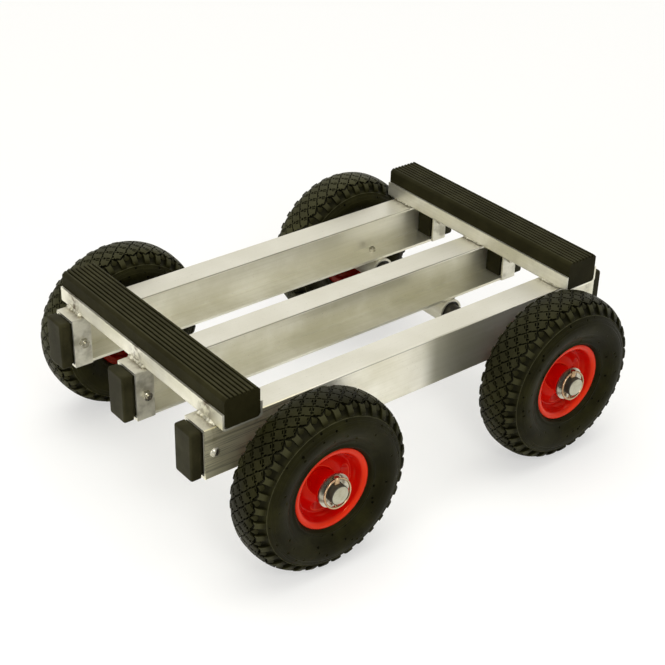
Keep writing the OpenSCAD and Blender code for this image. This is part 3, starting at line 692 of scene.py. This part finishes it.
def ribbed_pad(end):
    """A rubber pad: its grooved section carried along Y between square ends."""
    low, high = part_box(f"pad_{end}")
    middle = (low[0] + high[0]) / 2
    width, height = high[0] - low[0], high[2] - low[2]
    grooves, pitch, groove, depth = 7, 0.0065, 0.0027, 0.0034
    bevel, foot, soft = 0.0045, 0.004, 0.0007
    top = []
    for i in range(grooves):
        centre = (i - grooves // 2) * pitch
        wall = [(-soft, 0.0), (-soft * 0.25, -soft * 0.3), (0.0, -soft),
                (soft * 0.3, -depth + soft * 0.6), (soft, -depth)]
        top += [(centre - groove / 2 + x, z) for x, z in wall]
        top += [(centre + groove / 2 - x, z) for x, z in reversed(wall)]
    edge = -width / 2
    left = [(edge + foot, -height), (edge, -height + foot), (edge, -bevel - soft),
            (edge + soft * 0.4, -bevel + soft * 0.4), (edge + bevel - soft * 0.4, -soft * 0.4),
            (edge + bevel + soft, 0.0)]
    right = [(-x, z) for x, z in reversed(left)]
    section = np.array(left + top + right)
    stations = np.array([low[1], low[1] + soft, high[1] - soft, high[1]])
    limits = np.array([-soft, 0.0, 0.0, -soft])
    z = np.minimum(section[None, :, 1], limits[:, None])
    x = np.broadcast_to(section[None, :, 0], z.shape)
    y = np.broadcast_to(stations[:, None], z.shape)
    points = np.stack([middle + x, y, high[2] + z], -1)
    n = len(section)
    faces = grid_faces(len(stations), n, close_columns=True)[:, ::-1].tolist()
    faces.append(list(range(n)))
    faces.append(list(range((len(stations) - 1) * n, len(stations) * n))[::-1])
    return piece(f"ribbed_pad_{end}", points, faces, PAD_RUBBER, "frame",
                 (f"pad_{end}",), crease=40)


def rounded_loop(half_y, half_z, radius, count=6):
    """Closed outline of a rectangle with quarter circle corners."""
    a = np.linspace(0, math.pi / 2, count)
    corner = np.stack([np.cos(a), np.sin(a)], -1) * radius
    turns = [(1, 1, 0), (-1, 1, 1), (-1, -1, 0), (1, -1, 1)]
    loop = []
    for sy, sz, flip in turns:
        c = corner[::-1] if flip else corner
        loop.append(np.stack([sy * (half_y - radius + c[:, 0]), sz * (half_z - radius + c[:, 1])], -1))
    return np.vstack(loop)


# A buffer's plug and neck: how far past the rail's end, and how far inside the block's outline
NECK = ((-0.028, 0.0045), (-0.0005, 0.0045), (0.0002, 0.0035), (0.0034, 0.0035), (0.0036, 0.0008),
        (0.0042, 0.0001), (0.0052, 0.0))


def buffer(end, rail):
    """A rubber buffer: a rounded block outside the rail's end on a narrower neck, and its plug."""
    low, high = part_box(f"buffer_{end}_{rail}")
    sign = ENDS[end]
    out = max(abs(low[0]), abs(high[0]))
    middle_y, middle_z = (low[1] + high[1]) / 2, (low[2] + high[2]) / 2
    half_y, half_z = (high[1] - low[1]) / 2, (high[2] - low[2]) / 2
    corner, least, soft = 0.0042, 0.0012, 0.0034
    stations = [(RAIL_END + past, inset) for past, inset in NECK]
    for a in np.linspace(0, math.pi / 2, 6):
        stations.append((out - soft + soft * math.sin(a), soft * (1 - math.cos(a))))
    rings = []
    for x, inset in stations:
        loop = rounded_loop(half_y - inset, half_z - inset, max(corner - inset, least))
        rings.append(np.stack([np.full(len(loop), sign * x), middle_y + loop[:, 0],
                               middle_z + loop[:, 1]], -1))
    n = len(rings[0])
    faces = grid_faces(len(rings), n, close_columns=True)
    faces = (faces if sign < 0 else faces[:, ::-1]).tolist()
    first, last = list(range(n)), list(range((len(rings) - 1) * n, len(rings) * n))
    faces.append(first if sign < 0 else first[::-1])
    faces.append(last[::-1] if sign < 0 else last)
    return piece(f"rubber_buffer_{end}_{rail}", np.array(rings), faces, BUFFER_RUBBER, "frame",
                 (f"buffer_{end}_{rail}",), crease=50)


# Points round a weld bead, and their distance along it in millimetres
BEAD_AROUND = 14
BEAD_STEP = 0.7


def bead(start, stop, radius, lean, seed, ripple):
    """A weld bead: a tube along a line whose radius swells with each ripple of the puddle and with
    seeded lumps, the last one large. lean is the direction that the bead's crown faces."""
    start, stop, lean = np.array(start), np.array(stop), np.array(lean, float)
    length = np.linalg.norm(stop - start)
    count = max(int(length / MM / BEAD_STEP), 6)
    t = np.linspace(0, 1, count)
    along = (stop - start) / length
    lean = lean / np.linalg.norm(lean)
    side = np.cross(along, lean)
    random = np.random.default_rng(seed)
    phase = t * length / MM / ripple * 2 * math.pi + random.uniform(0, 6)
    lumps = random.uniform(-1, 1, 6)
    lumps[-1 if start[1] < stop[1] else 0] = 1.0
    swell = 1.0 + 0.1 * np.sin(phase) + 0.42 * np.interp(t, np.linspace(0.06, 0.94, 6), lumps)
    ends = np.sqrt(np.clip(1 - (2 * t - 1) ** 8, 0.02, 1))
    size = radius * swell * ends
    around = np.linspace(0, 2 * math.pi, BEAD_AROUND, endpoint=False)
    tt, aa = np.meshgrid(t, around, indexing="ij")
    shape = size[:, None, None] * (np.cos(aa)[..., None] * lean + np.sin(aa)[..., None] * side * 1.1)
    points = start + tt[..., None] * (stop - start) + shape
    faces = grid_faces(count, BEAD_AROUND, close_columns=True)
    caps = [list(range(BEAD_AROUND))[::-1], list(range((count - 1) * BEAD_AROUND, count * BEAD_AROUND))]
    return points.reshape(-1, 3), faces.tolist(), caps


def welded(name, beads, node):
    """Joins beads into one piece that stands for a CAD node of welds."""
    points, faces, count = [], [], 0
    for p, quads, caps in beads:
        points.append(p)
        faces += [[i + count for i in face] for face in quads + caps]
        count += len(p)
    return piece(name, np.vstack(points), faces, WELD_METAL, "frame", (node,), crease=80)


def rail_span(rail):
    low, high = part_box(f"rail_{rail}")
    return low[1], high[1]


def all_welds():
    """Beads in the corners between crossbars and rails, thicker on the crossbars' outer sides, and
    along both sides of each sleeve under the rails."""
    below = RAIL_TOP - 0.0775
    bars, sleeves = [], []
    seed = 3
    for end in ENDS.values():
        for rail in RAILS:
            y0, y1 = rail_span(rail)
            for s in (-1, 1):
                x = end * BAR_X + s * (HALF_BAR - 0.0008)
                size = 0.0036 if s * end > 0 else 0.0016
                bars.append(bead((x, y0 + 0.002, RAIL_TOP + 0.0016), (x, y1 - 0.002, RAIL_TOP + 0.0018),
                                 size, (s, 0, 0.8), seed, 7.0))
                x = end * WHEEL_X + s * 0.0105
                sleeves.append(bead((x, y0 + 0.001, below), (x, y1 - 0.001, below),
                                    0.0030, (s, 0, -1), seed + 50, 4.0))
                seed += 1
    welded("crossbar_weld_beads", bars, "crossbar_welds")
    welded("sleeve_weld_beads", sleeves, "sleeve_welds")


def dress_frame():
    """Finishes of the CAD nodes that keep their shape."""
    for rail in RAILS:
        paint(f"rail_{rail}", RAIL_METAL)
    for end in ENDS:
        paint(f"crossbar_{end}", BAR_METAL)
        paint(f"axle_{end}", AXLE_STEEL)
    paint("axle_sleeves", SLEEVE_METAL)
    paint("closing_plates", PLATE_METAL)
    paint("axle_bushes", BUSH_PLASTIC)
    for node in ("buffer_bolts", "buffer_nuts", "lock_screws", "lock_nuts"):
        paint(node, BOLT_STEEL)
    paint("axle_washers", HUB_STEEL)
    for corner in CORNERS:
        paint(f"rim_screws_{corner}", ZINC)
        paint(f"lynch_pin_{corner}", SPRING_STEEL)
        paint(f"ring_{corner}", SPRING_STEEL)
        paint(f"hub_{corner}", HUB_STEEL)
        paint(f"inner_tube_{corner}", TUBE_RUBBER)
        paint(f"rim_inner_{corner}", SHADED_ENAMEL)


# Each wheel's first shoulder lug and first rim pocket, in degrees from +X towards +Z, and the paleness of
# its block tops: dust with painted sheen
WHEEL_TURN = {"front_left": (6.6, 130.0, 0.04), "rear_left": (4.0, 140.0, 0.15),
              "front_right": (2.0, 20.0, 0.34), "rear_right": (7.0, 75.0, 0.5)}

dress_frame()
for corner, (lug, pocket, dust_and_sheen) in WHEEL_TURN.items():
    tyre(corner, math.radians(lug), dust_and_sheen)
    rim(corner, math.radians(pocket))
for end in ENDS:
    ribbed_pad(end)
    for rail in RAILS:
        buffer(end, rail)
all_welds()


def stage_floor():
    """Plain pale sheet under the tyres, as large as the picture needs. The camera sees about half of
    it as plain white, so that the shadows on it stay light."""
    f = Finish("pale_floor")
    x0, x1, y0, y1 = -1.1, 2.4, -1.0, 2.5
    seen_white = 0.52
    mesh = bpy.data.meshes.new("floor")
    mesh.from_pydata([(x0, y0, 0), (x1, y0, 0), (x1, y1, 0), (x0, y1, 0)], [], [(0, 1, 2, 3)])
    sheet = f.node("ShaderNodeBsdfDiffuse", {}, {"Color": linear(254, 253, 248) + (1.0,)})
    white = f.node("ShaderNodeEmission", {}, {"Color": (1.0, 1.0, 1.0, 1.0)})
    seen = f.node("ShaderNodeLightPath", {}, {}, "Is Camera Ray")
    output = f.tree.nodes.new("ShaderNodeOutputMaterial")
    blend = f.node("ShaderNodeMixShader", {}, {0: seen * seen_white, 1: sheet, 2: white})
    f.tree.links.new(blend.socket, output.inputs["Surface"])
    mesh.materials.append(f.material)
    floor = bpy.data.objects.new("floor", mesh)
    bpy.context.scene.collection.objects.link(floor)


def light_world(low, high):
    """Sky that goes from low at the sides to high above; camera, mirror and see-through rays meet
    plain white instead."""
    world = bpy.data.worlds.new("studio")
    bpy.context.scene.world = world
    world.use_nodes = True
    tree = world.node_tree
    tree.nodes.clear()
    path = tree.nodes.new("ShaderNodeLightPath")
    seen = Wire(tree, path.outputs["Is Camera Ray"])
    seen = seen.math("MAXIMUM", Wire(tree, path.outputs["Is Glossy Ray"]))
    seen = seen.math("MAXIMUM", Wire(tree, path.outputs["Is Transmission Ray"]))
    ray = tree.nodes.new("ShaderNodeTexCoord")
    parts = tree.nodes.new("ShaderNodeSeparateXYZ")
    tree.links.new(ray.outputs["Generated"], parts.inputs[0])
    x, y, z = (Wire(tree, parts.outputs[i]) for i in range(3))
    share = (z.clamp() ** 1.5 + x * 0.06 + y * 0.06).clamp()
    sky = tree.nodes.new("ShaderNodeMix")
    sky.data_type = "RGBA"
    plug(tree, sky.inputs[0], share)
    plug(tree, sky.inputs[6], low + (1.0,))
    plug(tree, sky.inputs[7], high + (1.0,))
    dim = tree.nodes.new("ShaderNodeBackground")
    tree.links.new(sky.outputs[2], dim.inputs["Color"])
    white = tree.nodes.new("ShaderNodeBackground")
    white.inputs["Color"].default_value = (1.0, 1.0, 1.0, 1.0)
    blend = tree.nodes.new("ShaderNodeMixShader")
    output = tree.nodes.new("ShaderNodeOutputWorld")
    tree.links.new(seen.socket, blend.inputs[0])
    tree.links.new(dim.outputs[0], blend.inputs[1])
    tree.links.new(white.outputs[0], blend.inputs[2])
    tree.links.new(blend.outputs[0], output.inputs[0])


MIDDLE = np.array([0, 0, 0.15])
WHITE = (1.0, 1.0, 1.0)


def soft_lamp(name, place, size, power):
    """Square lamp at a place, aimed at the middle of the dolly."""
    lamp = bpy.data.lights.new(name, "AREA")
    lamp.shape = "SQUARE"
    lamp.size = size
    lamp.energy = power
    lamp.color = WHITE
    hang(name, lamp, np.array(place) - MIDDLE, place)


def wide_lamp(name, back, strength, spread):
    """Far lamp, spread wide in degrees: even light from the direction given, with soft shadows."""
    lamp = bpy.data.lights.new(name, "SUN")
    lamp.energy = strength
    lamp.angle = math.radians(spread)
    lamp.color = WHITE
    hang(name, lamp, back, (0, 0, 3))


def hang(name, lamp, back, place):
    """Puts a lamp at a place with its back turned to the direction given."""
    made = bpy.data.objects.new(name, lamp)
    bpy.context.scene.collection.objects.link(made)
    back = np.array(back) / np.linalg.norm(back)
    side = np.cross([0, 1, 0], back)
    side = side / np.linalg.norm(side)
    stand(made, side, np.cross(back, side), back, place)


def stand(made, x_axis, y_axis, z_axis, place):
    """Puts a lamp or camera at a place with its three axes along the directions given."""
    columns = np.stack([x_axis, y_axis, z_axis, place], 1)
    made.matrix_world = Matrix(np.vstack([columns, [0, 0, 0, 1]]).tolist())


def photo_camera():
    """Camera fitted to the photograph: where it stands, how it is turned and its focal length."""
    place = np.array([-1.17003, -1.45396, 1.26855])
    azimuth, elevation, roll = (math.radians(v) for v in (-38.817, 30.798, 1.508))
    back = np.array([math.sin(azimuth) * math.cos(elevation), -math.cos(azimuth) * math.cos(elevation),
                     math.sin(elevation)])
    right = np.cross([0, 0, 1], back)
    right = right / np.linalg.norm(right)
    up = np.cross(back, right)
    x_axis = right * math.cos(roll) + up * math.sin(roll)
    y_axis = -right * math.sin(roll) + up * math.cos(roll)
    data = bpy.data.cameras.new("camera")
    picture_width, focal_pixels = 665, 1448.63
    data.sensor_width = 36.0
    data.lens = data.sensor_width * focal_pixels / picture_width
    data.clip_end = 100.0
    camera = bpy.data.objects.new("camera", data)
    bpy.context.scene.collection.objects.link(camera)
    stand(camera, x_axis, y_axis, back, place)
    bpy.context.scene.camera = camera


stage_floor()
light_world((0.10, 0.10, 0.09), (0.83, 0.82, 0.79))
wide_lamp("top_light", (0.1, 0.1, 1.0), 1.42, 60.0)
soft_lamp("front_light", (-0.7, -1.6, 1.5), 0.5, 9.0)
soft_lamp("left_light", (-2.0, -0.5, 0.9), 0.8, 13.0)
photo_camera()
bpy.context.scene.view_settings.view_transform = "Standard"
